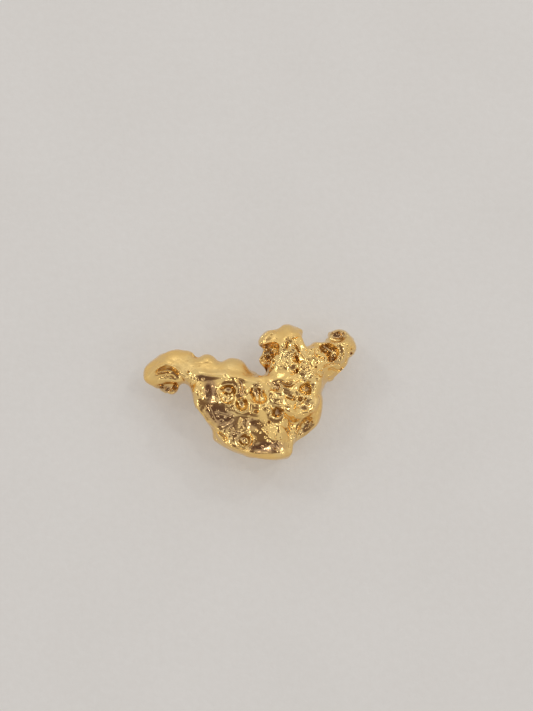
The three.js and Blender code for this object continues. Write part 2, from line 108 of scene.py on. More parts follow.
class Shader:
    # a small helper that adds nodes to a material or world and wires them up
    def __init__(self, owner):
        owner.use_nodes = True
        self.tree = owner.node_tree
        self.tree.nodes.clear()

    def add(self, kind, inputs=None, **settings):
        node = self.tree.nodes.new(kind)
        for name, value in settings.items():
            setattr(node, name, value)
        for name, value in (inputs or {}).items():
            if isinstance(value, bpy.types.NodeSocket):
                self.tree.links.new(value, node.inputs[name])
            else:
                node.inputs[name].default_value = value
        return node

    def maths(self, operation, a, b=0.0, clamp=False):
        return self.add("ShaderNodeMath", {0: a, 1: b}, operation=operation, use_clamp=clamp).outputs[0]

    def blend(self, share, a, b):
        node = self.add("ShaderNodeMix", {mixShare: share, mixFirst: a, mixSecond: b}, data_type="RGBA")
        return node.outputs[mixResult]

    def noise(self, place, scale, detail):
        node = self.add("ShaderNodeTexNoise", {"Vector": place, "Scale": scale, "Detail": detail})
        return node.outputs[0]

    def span(self, value, low, high, start=0.0, end=1.0):
        inputs = {"Value": value, "From Min": low, "From Max": high, "To Min": start, "To Max": end}
        node = self.add("ShaderNodeMapRange", inputs, interpolation_type="SMOOTHSTEP")
        return node.outputs[0]


# gold

gold = {
    "polished": (0.93, 0.62, 0.22, 1),  # worn, raised skin
    "hollowShade": (0.80, 0.57, 0.28, 1),  # painted shade: a darker, duller gold in pits and creases
    "pale": (0.89, 0.625, 0.25, 1),  # rubbed edges and patches richer in silver
    "soil": (0.16, 0.08, 0.035, 1),  # iron stain left in the deepest holes
    "roughness": 0.13,  # of the skin that looks melted
    "satin": 0.37,  # of the skin that was rubbed matt
    "roughest": 0.5,  # at the bottom of the hollows
    "speck": (0.42, 0.25, 0.11, 1),  # dirt in the pinholes of the matt skin
    "darkReflectionAndShade": (0.34, 0.18, 0.115, 1),  # painted dark reflection of the viewer's dark side, and painted shade in pits
    # how many patches, grains, dents and scratches fit on a millimetre
    "patchScale": 0.9, "grainScale": 14.0, "dentScale": 7.0, "scratchScale": (3.0, 26.0, 12.0),
    "scratchTurn": (0.3, 0.2, 0.5),
    # shares of the fine relief, how strong it is and how deep in millimetres
    "grainRelief": 0.35, "dentRelief": 0.5, "scratchRelief": 0.12, "relief": 0.4, "reliefDepth": 0.03,
}


def makeGold():
    material = bpy.data.materials.new("native gold")
    s = Shader(material)
    place = s.add("ShaderNodeTexCoord").outputs["Object"]
    perMillimetre = (1 / millimetre,) * 3
    scaled = s.add("ShaderNodeMapping", {"Vector": place, "Scale": perMillimetre}).outputs[0]
    hollow = s.add("ShaderNodeAttribute", attribute_name="hollow").outputs["Fac"]
    wear = s.add("ShaderNodeAttribute", attribute_name="wear").outputs["Fac"]
    satin = s.add("ShaderNodeAttribute", attribute_name="satin").outputs["Fac"]
    # share of painted dark reflection and painted shade
    darkReflectionAndShade = s.add("ShaderNodeAttribute", attribute_name="darkReflectionAndShade").outputs["Fac"]

    patches = s.noise(scaled, gold["patchScale"], 3.0)
    grain = s.noise(scaled, gold["grainScale"], 4.0)
    cells = s.add("ShaderNodeTexVoronoi", {"Vector": scaled, "Scale": gold["dentScale"]})
    dents = cells.outputs["Distance"]
    drawn = s.add("ShaderNodeMapping", {
        "Vector": scaled, "Rotation": gold["scratchTurn"], "Scale": gold["scratchScale"]}).outputs[0]
    scratches = s.noise(drawn, 1.0, 2.0)

    colour = s.blend(s.span(patches, 0.4, 0.65), gold["polished"], gold["pale"])
    colour = s.blend(s.span(wear, 0.1, 0.9, 0.0, 0.6), colour, gold["pale"])
    # painted shade: pits and creases darkened and dulled
    colour = s.blend(s.span(hollow, 0.15, 0.75), colour, gold["hollowShade"])
    # painted dark reflection and painted shade, mottled by the grain
    mottled = s.maths("MULTIPLY", darkReflectionAndShade, s.span(grain, 0.3, 0.7, 0.55, 1.1), clamp=True)
    colour = s.blend(mottled, colour, gold["darkReflectionAndShade"])
    stain = s.maths("MULTIPLY", s.span(hollow, 0.7, 1.0), s.span(grain, 0.45, 0.62, 0.0, 0.8))
    colour = s.blend(stain, colour, gold["soil"])
    pinholes = s.maths("MULTIPLY", s.span(dents, 0.17, 0.06), s.span(patches, 0.5, 0.56))
    pinholes = s.maths("MULTIPLY", pinholes, satin)
    colour = s.blend(s.maths("MULTIPLY", pinholes, 0.8), colour, gold["speck"])

    rough = s.span(grain, 0.35, 0.7, gold["roughness"], gold["roughness"] + 0.08)
    rough = s.maths("ADD", rough, s.span(hollow, 0.2, 1.0, 0.0, gold["roughest"] - gold["roughness"]))
    rough = s.maths("MAXIMUM", rough, s.maths("MULTIPLY", satin, gold["satin"]))

    height = s.maths("MULTIPLY", grain, gold["grainRelief"])
    height = s.maths("ADD", height, s.maths("MULTIPLY", s.span(dents, 0.0, 0.22), gold["dentRelief"]))
    height = s.maths("ADD", height, s.maths("MULTIPLY", scratches, gold["scratchRelief"]))
    depth = gold["reliefDepth"] * millimetre
    bump = s.add("ShaderNodeBump", {"Height": height, "Strength": gold["relief"], "Distance": depth})
    skin = s.add("ShaderNodeBsdfPrincipled", {
        "Base Color": colour, "Roughness": rough, "Normal": bump.outputs[0], "Metallic": 1.0})
    s.add("ShaderNodeOutputMaterial", {"Surface": skin.outputs[0]})
    return material


# skin

skinSettings = {
    "weld": 0.002,  # points of the solid that are nearer than this become one
    # voxel and rounds of smoothing: first of the form, whose facets melt away, then of the finished skin
    "remesh": ((0.07, 4), (0.041, 2)),
    "seen": (0.05, 0.4),  # how squarely the skin faces the viewer where drawn marks begin and are full
    "wander": (0.4, 0.035),  # wave length and reach of the wandering of every mark's outline
    "soften": 0.2,  # share of one round of smoothing that softens the marks
    "ripple": ((0.6, 0.012), (0.24, 0.006), (0.11, 0.0015)),  # wave length and height
    # heights over the floor where hidden marks and ripples are full, so that the foot stays flat
    "markBand": 0.12, "rippleBand": 0.1,
    "sink": (14, 70),  # rounds of smoothing that find narrow and wide hollows
    "mostTriangles": 190000,
    "seed": 11,
}

# Where the skin is rubbed matt: the arm, the band, the lower rim, the crest's visor and the knob's rim.
# Each patch: (u, v, half width, half height, turn in degrees)
satinPatches = [
    (-5.2, 2.7, 1.2, 0.55, 30), (-4.0, 2.7, 0.8, 0.6, 0), (-2.6, 2.45, 1.1, 0.5, -5),
    (-1.2, 2.3, 1.0, 0.5, -5), (-0.2, 1.85, 0.8, 0.3, -5), (-5.9, 1.7, 0.5, 0.4, 0),
    (-1.4, -2.05, 1.0, 0.25, -15), (0.4, -2.3, 1.1, 0.25, 0), (1.4, -1.9, 0.25, 0.6, 0),
    (0.9, 4.1, 0.9, 0.5, 10), (1.9, 4.3, 0.4, 0.4, 0), (4.2, 4.4, 0.6, 0.2, 0),
    (4.9, 3.8, 0.25, 0.5, 0), (2.95, 0.2, 0.3, 0.9, 0),
]

# Where painted dark reflection and painted shade darken the gold, mostly low on the belly, which faces
# the viewer's dark side, and in its hollows.
# Each patch: (u, v, half width, half height, turn in degrees, strength)
darkReflectionAndShadePatches = [
    # belly
    (-2.7, 1.15, 0.36, 0.85, 5, 0.85), (-3.0, 1.8, 0.45, 0.18, -10, 0.7),
    (-2.15, -0.2, 1.05, 0.55, -35, 0.75), (-1.3, -1.15, 0.5, 0.35, -20, 0.5),
    (-0.65, -0.6, 0.5, 0.38, 0, 0.6), (0.25, -1.78, 1.0, 0.32, 5, 0.85),
    (-1.1, 1.25, 0.2, 0.55, 0, 0.55), (-1.65, 1.38, 0.42, 0.25, 0, 0.45),
    (-0.2, 1.2, 0.35, 0.4, 0, 0.4),
    # right side, arm, crest and knob
    (0.75, 1.45, 0.5, 0.2, -15, 0.45), (0.85, 0.0, 0.28, 0.3, 0, 0.4), (2.4, -0.8, 0.25, 0.6, -35, 0.4),
    (-5.05, 1.28, 0.65, 0.2, -5, 0.6), (0.25, 3.35, 0.4, 0.6, 0, 0.3), (0.28, 2.4, 0.2, 0.4, 0, 0.4),
    (4.1, 4.15, 0.5, 0.25, 0, 0.6), (3.5, 3.4, 0.45, 0.35, -30, 0.35), (3.8, 2.85, 0.4, 0.3, 0, 0.4),
]

# Marks on the side that is seen, region by region, in drawing millimetres.
# pit, bead, swell: (u, v, half width, half height, turn in degrees, depth or height)
# ring: (u, v, radius, half width of its wall, height), with a wall all round
# crease, ridge: (half width, depth or height, points)
armMarks = {
    "swell": [(-4.95, 1.98, 0.65, 0.35, 0, 0.12)],
    "ridge": [
        (0.075, 0.10, [(-5.9, 2.05), (-5.6, 2.28), (-5.3, 2.45), (-5.1, 2.53), (-4.85, 2.48),
                       (-4.6, 2.38), (-4.4, 2.3), (-4.28, 2.12), (-4.12, 1.95), (-3.9, 1.82),
                       (-3.6, 1.78)]),
        (0.055, 0.10, [(-5.08, 1.02), (-4.88, 0.98), (-4.72, 1.05), (-4.62, 1.2)]),
        (0.05, 0.03, [(-5.55, 2.12), (-5.3, 2.2), (-5.0, 2.24), (-4.7, 2.2)]),
    ],
    "crease": [
        (0.07, 0.13, [(-5.58, 2.06), (-5.45, 2.28), (-5.2, 2.38), (-4.95, 2.4), (-4.7, 2.32),
                      (-4.5, 2.18), (-4.4, 2.03)]),
        (0.04, 0.08, [(-5.6, 2.04), (-5.3, 2.1), (-5.1, 2.14), (-4.85, 2.13)]),
        (0.05, 0.06, [(-5.55, 1.62), (-5.5, 1.8), (-5.3, 1.93), (-5.0, 1.98), (-4.75, 1.93),
                      (-4.6, 1.8)]),
        (0.04, 0.04, [(-6.15, 2.32), (-5.8, 2.45), (-5.5, 2.62), (-5.2, 2.75), (-5.0, 2.72)]),
        (0.04, 0.03, [(-5.6, 2.8), (-5.3, 2.98), (-5.0, 3.08), (-4.7, 3.2)]),
        (0.055, 0.16, [(-3.78, 3.14), (-3.64, 3.0), (-3.42, 2.87)]),
        (0.035, 0.03, [(-3.6, 2.6), (-3.3, 2.63), (-3.0, 2.58), (-2.6, 2.62)]),
    ],
    "pit": [
        (-5.42, 1.4, 0.24, 0.10, -8, 0.12), (-4.62, 1.36, 0.20, 0.12, 20, 0.12),
        (-5.0, 1.26, 0.22, 0.14, 0, 0.08), (-3.88, 2.14, 0.11, 0.06, 20, 0.1),
        (-3.32, 2.47, 0.06, 0.06, 0, 0.05), (-5.1, 1.82, 0.045, 0.045, 0, 0.03),
        (-4.85, 1.83, 0.045, 0.045, 0, 0.03), (-5.0, 1.64, 0.05, 0.045, 0, 0.03),
        (-4.6, 1.6, 0.045, 0.045, 0, 0.03), (-4.45, 2.75, 0.05, 0.04, 0, 0.03),
        (-4.7, 2.65, 0.06, 0.04, 0, 0.03), (-3.95, 2.75, 0.09, 0.06, 0, 0.04),
    ],
    "bead": [
        (-6.3, 1.76, 0.09, 0.11, 0, 0.05), (-3.95, 1.78, 0.10, 0.07, 0, 0.05),
        (-3.72, 1.86, 0.10, 0.05, 30, 0.05), (-5.35, 1.2, 0.16, 0.1, -30, 0.06),
        (-4.52, 1.2, 0.09, 0.14, 0, 0.06),
    ],
}

bellyMarks = {
    "swell": [
        (0.12, 0.22, 0.3, 0.25, 0, 0.16), (-3.35, 1.0, 0.22, 0.3, 0, 0.16),
        (-2.3, -1.4, 0.4, 0.16, -38, 0.08), (-2.2, 0.55, 0.3, 0.2, -20, 0.1),
        (-0.45, 0.35, 0.2, 0.2, 0, 0.1), (-2.0, 0.84, 0.3, 0.24, 0, 0.14),
        (-0.5, 0.8, 0.2, 0.28, 0, 0.12),
    ],
    "ridge": [
        # brow, and the rims of the pockets
        (0.09, 0.02, [(-3.2, 1.92), (-2.6, 1.86), (-2.1, 1.86), (-1.5, 1.9), (-0.9, 1.72), (-0.3, 1.62),
                      (0.3, 1.66)]),
        (0.06, 0.07, [(-2.38, 1.2), (-2.22, 0.75), (-2.0, 0.5), (-1.7, 0.4), (-1.45, 0.52),
                      (-1.36, 0.75)]),
        (0.05, 0.11, [(-0.9, 0.84), (-0.75, 0.62), (-0.7, 0.36), (-0.76, 0.16), (-0.98, 0.04),
                      (-1.24, 0.12), (-1.38, 0.34), (-1.36, 0.52)]),
        (0.06, 0.07, [(-0.66, 1.05), (-0.48, 0.68), (-0.22, 0.48), (0.06, 0.42), (0.27, 0.58),
                      (0.26, 0.82)]),
        (0.09, 0.03, [(-2.4, 0.3), (-2.0, 0.14), (-1.6, 0.1), (-1.3, -0.04), (-0.95, -0.08),
                      (-0.55, -0.14)]),
        (0.04, 0.06, [(-0.08, 1.25), (-0.06, 0.95), (-0.1, 0.62)]),
        # ring of the lower pocket, with its bright right half
        (0.055, 0.12, [(-0.64, -1.1), (-0.55, -1.34), (-0.64, -1.6), (-0.86, -1.74)]),
        (0.05, 0.06, [(-0.64, -1.1), (-0.88, -1.04), (-1.12, -1.16), (-1.24, -1.42), (-1.1, -1.66),
                      (-0.86, -1.74)]),
        # lower rim, and the flake below it
        (0.10, 0.07, [(-3.3, 0.1), (-2.75, -0.62), (-2.3, -1.1), (-1.85, -1.5), (-1.4, -1.84),
                      (-0.8, -2.06), (0.0, -2.14), (0.7, -2.06), (1.2, -1.92)]),
        (0.055, 0.08, [(-2.55, -1.06), (-2.5, -1.3), (-2.24, -1.58), (-1.92, -1.8)]),
        (0.04, 0.05, [(-2.4, -1.2), (-2.15, -1.36), (-1.95, -1.52)]),
    ],
    "crease": [
        (0.05, 0.08, [(-1.97, 1.98), (-1.76, 1.86), (-1.6, 1.72)]),
        (0.08, 0.13, [(-1.32, 1.74), (-1.1, 1.62), (-1.02, 1.35), (-1.08, 1.12), (-0.94, 0.94),
                      (-0.84, 0.9)]),
        (0.035, 0.09, [(-3.57, 0.46), (-3.47, 0.22), (-3.33, 0.0)]),
        (0.04, 0.07, [(-0.58, 0.36), (-0.6, 0.1), (-0.5, -0.02)]),
        (0.07, 0.15, [(-2.72, -0.72), (-2.38, -0.95), (-2.16, -1.08), (-1.95, -1.28), (-1.8, -1.5)]),
        (0.06, 0.07, [(-1.3, -1.1), (-1.34, -1.45), (-1.15, -1.76), (-0.86, -1.88), (-0.52, -1.72),
                      (-0.42, -1.34), (-0.55, -1.02)]),
        (0.05, 0.06, [(-2.5, 0.02), (-2.15, -0.02), (-1.9, -0.12), (-1.62, -0.14)]),
        (0.05, 0.06, [(-2.2, -0.72), (-1.95, -0.6), (-1.7, -0.5), (-1.5, -0.35)]),
        (0.045, 0.06, [(-2.8, 0.35), (-2.65, 0.1), (-2.55, -0.2), (-2.4, -0.5)]),
        (0.06, 0.07, [(-0.95, -0.3), (-0.95, -0.6), (-0.88, -0.85)]),
        (0.04, 0.05, [(-1.0, 0.75), (-1.2, 0.7), (-1.3, 0.6)]),
    ],
    "pit": [
        (-1.78, 1.22, 0.42, 0.3, 0, 0.07), (-1.02, 0.42, 0.27, 0.26, 0, 0.03),
        (-0.36, 1.1, 0.32, 0.4, 0, 0.08), (0.1, 0.75, 0.14, 0.24, 0, 0.05),
        (-0.3, 0.07, 0.14, 0.12, 0, 0.17), (-0.9, -1.4, 0.28, 0.27, 0, 0.08),
        (-0.35, -0.55, 0.42, 0.3, 0, 0.03), (0.02, -1.78, 0.6, 0.26, 4, 0.06),
        (-0.34, -1.28, 0.07, 0.07, 0, 0.09), (-0.08, -1.02, 0.06, 0.06, 0, 0.07),
        (-0.55, -1.1, 0.06, 0.05, 0, 0.06), (-1.5, -0.12, 0.07, 0.06, 0, 0.06),
        (-3.1, 0.25, 0.24, 0.18, 60, 0.05), (-1.35, -1.0, 0.1, 0.08, 0, 0.08),
        (-2.3, -0.15, 0.1, 0.07, 30, 0.06), (-2.4, -1.42, 0.5, 0.2, -37, 0.14),
        (-1.55, -0.35, 0.08, 0.05, 20, 0.05), (-2.1, -0.4, 0.1, 0.07, 0, 0.05),
        (-1.62, -1.3, 0.07, 0.1, 0, 0.06), (-2.9, 0.8, 0.08, 0.06, 0, 0.05),
        (-2.85, 1.15, 0.06, 0.06, 0, 0.04), (-0.4, -1.5, 0.05, 0.05, 0, 0.05),
        (-3.1, 1.78, 0.1, 0.07, 0, 0.07), (-0.15, -0.35, 0.06, 0.05, 0, 0.04),
        (-0.5, -0.3, 0.06, 0.05, 0, 0.04), (-2.95, 1.98, 0.05, 0.04, 0, 0.03),
        (-2.2, 2.2, 0.05, 0.04, 0, 0.03), (-1.3, 2.25, 0.05, 0.04, 0, 0.03),
        (-1.75, 2.3, 0.04, 0.04, 0, 0.03), (-0.9, 2.05, 0.05, 0.04, 0, 0.03),
    ],
    "bead": [
        (-3.5, 1.06, 0.12, 0.15, 0, 0.08), (-3.26, 1.18, 0.1, 0.08, 40, 0.07),
        (-3.3, 0.85, 0.14, 0.07, 10, 0.06), (-3.08, 0.98, 0.08, 0.1, 0, 0.06),
        (-3.7, 1.58, 0.07, 0.08, 0, 0.06), (-3.42, 1.52, 0.08, 0.1, 0, 0.06),
        (-3.25, 1.58, 0.06, 0.09, 0, 0.05), (-3.4, 1.78, 0.1, 0.06, 0, 0.05),
        (-2.2, 0.8, 0.07, 0.2, 22, 0.07), (-1.87, 0.76, 0.1, 0.16, 0, 0.08),
        (-1.64, 0.92, 0.08, 0.09, 0, 0.06), (-1.4, 0.95, 0.07, 0.08, 0, 0.06),
        (-1.83, 1.72, 0.07, 0.07, 0, 0.06), (-1.52, 1.42, 0.08, 0.09, 0, 0.07),
        (-1.2, 1.6, 0.06, 0.06, 0, 0.05), (-1.0, 0.78, 0.05, 0.08, 0, 0.05),
        (-0.84, 1.32, 0.07, 0.13, -35, 0.08), (-0.72, 1.02, 0.07, 0.06, 0, 0.06),
        (-0.86, 0.32, 0.07, 0.07, 0, 0.07), (-1.15, 0.3, 0.05, 0.1, 0, 0.04),
        (-0.9, 1.75, 0.06, 0.05, 0, 0.04), (-0.15, 1.6, 0.09, 0.06, 0, 0.05),
        (0.28, 1.62, 0.09, 0.1, 0, 0.06), (0.14, 1.08, 0.06, 0.06, 0, 0.05),
        (-1.12, -0.5, 0.055, 0.32, -4, 0.10), (-1.52, -0.94, 0.07, 0.15, -15, 0.10),
        (-1.72, -1.13, 0.2, 0.055, 4, 0.07), (-1.72, -0.86, 0.13, 0.09, 35, 0.07),
        (-1.93, -0.23, 0.07, 0.06, 0, 0.06), (-1.04, -0.93, 0.07, 0.06, 0, 0.06),
        (-1.58, -0.72, 0.1, 0.05, 30, 0.06), (-2.3, 0.12, 0.09, 0.06, -30, 0.05),
        (-0.72, -0.92, 0.05, 0.09, -20, 0.06), (-0.3, -0.92, 0.05, 0.09, 15, 0.06),
        (-0.88, -1.45, 0.13, 0.045, 35, 0.08), (-0.78, -1.9, 0.07, 0.05, 0, 0.05),
        (-1.5, -1.62, 0.09, 0.05, 15, 0.05), (-0.5, 0.02, 0.05, 0.08, 0, 0.05),
        (-2.42, -1.4, 0.09, 0.07, -40, 0.06), (-2.2, -1.58, 0.08, 0.06, -40, 0.06),
        (-1.92, -1.76, 0.09, 0.05, -25, 0.05), (-1.75, 0.1, 0.08, 0.05, 0, 0.04),
        (-2.0, -0.95, 0.08, 0.05, 30, 0.04), (-0.75, -0.32, 0.1, 0.06, 0, 0.04),
    ],
}

sideMarks = {
    "swell": [
        (0.86, -0.95, 0.5, 0.52, 10, 0.34), (2.58, 1.84, 0.3, 0.26, 20, 0.22),
        (2.2, 1.0, 0.3, 0.2, 0, 0.1), (1.75, -0.25, 0.3, 0.18, 0, 0.12),
        (1.9, 1.55, 0.3, 0.2, 30, 0.12),
    ],
    "ridge": [
        (0.055, 0.09, [(0.22, 0.28), (0.4, 0.28), (0.5, 0.1), (0.46, -0.2)]),
        (0.10, 0.08, [(1.3, 0.12), (1.8, 0.0), (2.3, -0.02), (2.6, 0.08), (2.8, 0.3), (2.82, 0.55)]),
        (0.045, 0.10, [(2.3, -0.18), (2.02, -0.48), (1.86, -0.84), (1.74, -1.2), (1.67, -1.5)]),
        (0.06, 0.06, [(2.95, 0.1), (2.98, -0.2), (2.82, -0.6), (2.5, -0.95), (2.1, -1.3)]),
        (0.055, 0.07, [(1.0, 1.34), (1.25, 1.28), (1.5, 1.3), (1.7, 1.4), (1.9, 1.62), (2.16, 1.86)]),
        (0.05, 0.06, [(1.22, 1.6), (1.5, 1.66), (1.75, 1.76), (2.0, 2.0)]),
        (0.05, 0.05, [(0.6, 0.35), (0.8, 0.36), (1.05, 0.24), (1.3, 0.2)]),
        (0.05, 0.06, [(0.55, 1.5), (0.62, 1.2), (0.8, 1.08), (1.0, 1.1), (1.1, 1.3)]),
        (0.07, 0.05, [(0.3, -0.7), (0.55, -0.62), (0.8, -0.66), (1.1, -0.8), (1.3, -1.1), (1.38, -1.5)]),
        (0.05, 0.05, [(3.1, 0.9), (3.14, 0.5), (3.1, 0.1)]),
    ],
    "crease": [
        (0.065, 0.14, [(1.14, -0.04), (1.3, -0.2), (1.44, -0.34), (1.58, -0.5)]),
        (0.06, 0.12, [(0.85, 1.66), (1.05, 1.6), (1.2, 1.48), (1.45, 1.44), (1.62, 1.46)]),
        (0.04, 0.08, [(2.0, 1.68), (2.1, 1.74), (2.2, 1.78)]),
        (0.05, 0.10, [(2.46, -1.0), (2.22, -1.22), (1.88, -1.48)]),
        (0.05, 0.08, [(0.5, 0.95), (0.5, 0.78), (0.6, 0.62)]),
        (0.05, 0.08, [(2.26, 0.5), (2.4, 0.44), (2.5, 0.42)]),
        (0.05, 0.06, [(1.42, -0.6), (1.5, -0.9), (1.46, -1.2), (1.5, -1.5)]),
        (0.05, 0.06, [(0.02, -0.75), (0.25, -1.0), (0.4, -1.25)]),
        (0.04, 0.05, [(1.9, 0.3), (2.2, 0.15), (2.45, 0.22)]),
        (0.04, 0.05, [(1.0, 0.9), (0.95, 0.62), (1.05, 0.42)]),
    ],
    "pit": [
        (0.8, 0.02, 0.2, 0.3, 0, 0.06), (0.95, -0.06, 0.09, 0.1, 0, 0.08),
        (0.4, -0.5, 0.08, 0.09, 0, 0.12), (0.82, 1.35, 0.13, 0.16, 0, 0.06),
        (1.4, 0.86, 0.34, 0.13, -20, 0.06), (2.34, 1.25, 0.25, 0.27, 0, 0.05),
        (2.02, 0.72, 0.1, 0.08, 0, 0.07), (2.26, 0.72, 0.09, 0.1, 0, 0.10),
        (1.7, 0.72, 0.1, 0.09, 0, 0.07), (2.44, -0.35, 0.3, 0.16, 40, 0.07),
        (2.6, -0.3, 0.08, 0.06, 0, 0.07), (2.64, -0.5, 0.07, 0.06, 0, 0.07),
        (2.3, -0.6, 0.08, 0.06, 0, 0.06), (2.5, -0.74, 0.07, 0.05, 0, 0.06),
        (2.34, -0.84, 0.08, 0.05, 0, 0.06), (2.1, -0.85, 0.08, 0.05, 20, 0.06),
        (2.0, -1.16, 0.08, 0.07, 0, 0.06), (2.24, -1.14, 0.09, 0.05, 40, 0.06),
        (1.86, -1.3, 0.06, 0.06, 0, 0.05), (3.0, 0.88, 0.07, 0.09, 0, 0.06),
        (1.55, -0.62, 0.12, 0.07, 0, 0.08), (0.7, -1.78, 0.1, 0.1, 0, 0.05),
        (1.1, -1.1, 0.05, 0.05, 0, 0.03), (0.25, -0.85, 0.06, 0.05, 0, 0.04),
        (2.7, 0.88, 0.07, 0.05, 0, 0.04), (2.8, 1.35, 0.05, 0.05, 0, 0.04),
        (1.55, -1.1, 0.06, 0.09, 0, 0.06), (1.0, -2.2, 0.05, 0.04, 0, 0.03),
        (0.2, -1.3, 0.08, 0.06, 0, 0.04),
    ],
    "bead": [
        (0.88, -0.92, 0.16, 0.22, 0, 0.03), (1.08, -1.08, 0.1, 0.1, 0, 0.05),
        (0.82, -1.54, 0.09, 0.06, 0, 0.05), (0.72, -1.25, 0.06, 0.14, 0, 0.05),
        (1.0, -1.32, 0.1, 0.07, -35, 0.05), (1.44, -1.72, 0.05, 0.2, 0, 0.06),
        (1.36, -1.45, 0.05, 0.16, 10, 0.05), (1.75, -0.22, 0.16, 0.12, 0, 0.08),
        (1.38, -0.62, 0.06, 0.14, -10, 0.08), (1.15, -0.32, 0.07, 0.08, 0, 0.07),
        (1.66, -0.88, 0.12, 0.06, 0, 0.06), (1.44, -0.88, 0.07, 0.05, 0, 0.05),
        (2.62, 0.06, 0.2, 0.1, 38, 0.09), (2.76, 0.36, 0.07, 0.13, 0, 0.06),
        (1.38, 0.43, 0.16, 0.09, 0, 0.09), (1.0, 0.74, 0.14, 0.07, 0, 0.08),
        (1.23, 0.7, 0.07, 0.06, 0, 0.06), (0.85, 0.55, 0.11, 0.07, 0, 0.06),
        (1.72, 0.92, 0.08, 0.12, 0, 0.09), (2.05, 1.02, 0.14, 0.08, 10, 0.08),
        (1.75, 0.6, 0.08, 0.06, 0, 0.05), (2.0, 0.48, 0.16, 0.07, 15, 0.07),
        (0.67, 0.86, 0.07, 0.1, 0, 0.06), (0.4, 1.12, 0.08, 0.07, 0, 0.06),
        (0.7, 1.12, 0.08, 0.05, 0, 0.05), (0.55, 0.66, 0.05, 0.05, 0, 0.04),
        (0.3, 0.1, 0.08, 0.12, 0, 0.05), (1.5, 1.64, 0.2, 0.06, 5, 0.07),
        (2.28, 1.22, 0.13, 0.07, 0, 0.08), (2.1, -0.1, 0.1, 0.05, 0, 0.05),
        (2.55, 0.75, 0.09, 0.07, 0, 0.04), (0.2, -0.65, 0.06, 0.08, 0, 0.05),
        (2.75, -0.15, 0.06, 0.1, -10, 0.04), (1.85, 1.15, 0.08, 0.06, 0, 0.05),
        (0.35, -1.15, 0.1, 0.06, -50, 0.04), (1.6, -0.38, 0.07, 0.05, 0, 0.05),
    ],
    "ring": [
        (2.01, 0.72, 0.17, 0.05, 0.08), (0.7, -1.78, 0.17, 0.045, 0.05), (2.26, 0.72, 0.12, 0.03, 0.03),
    ],
}

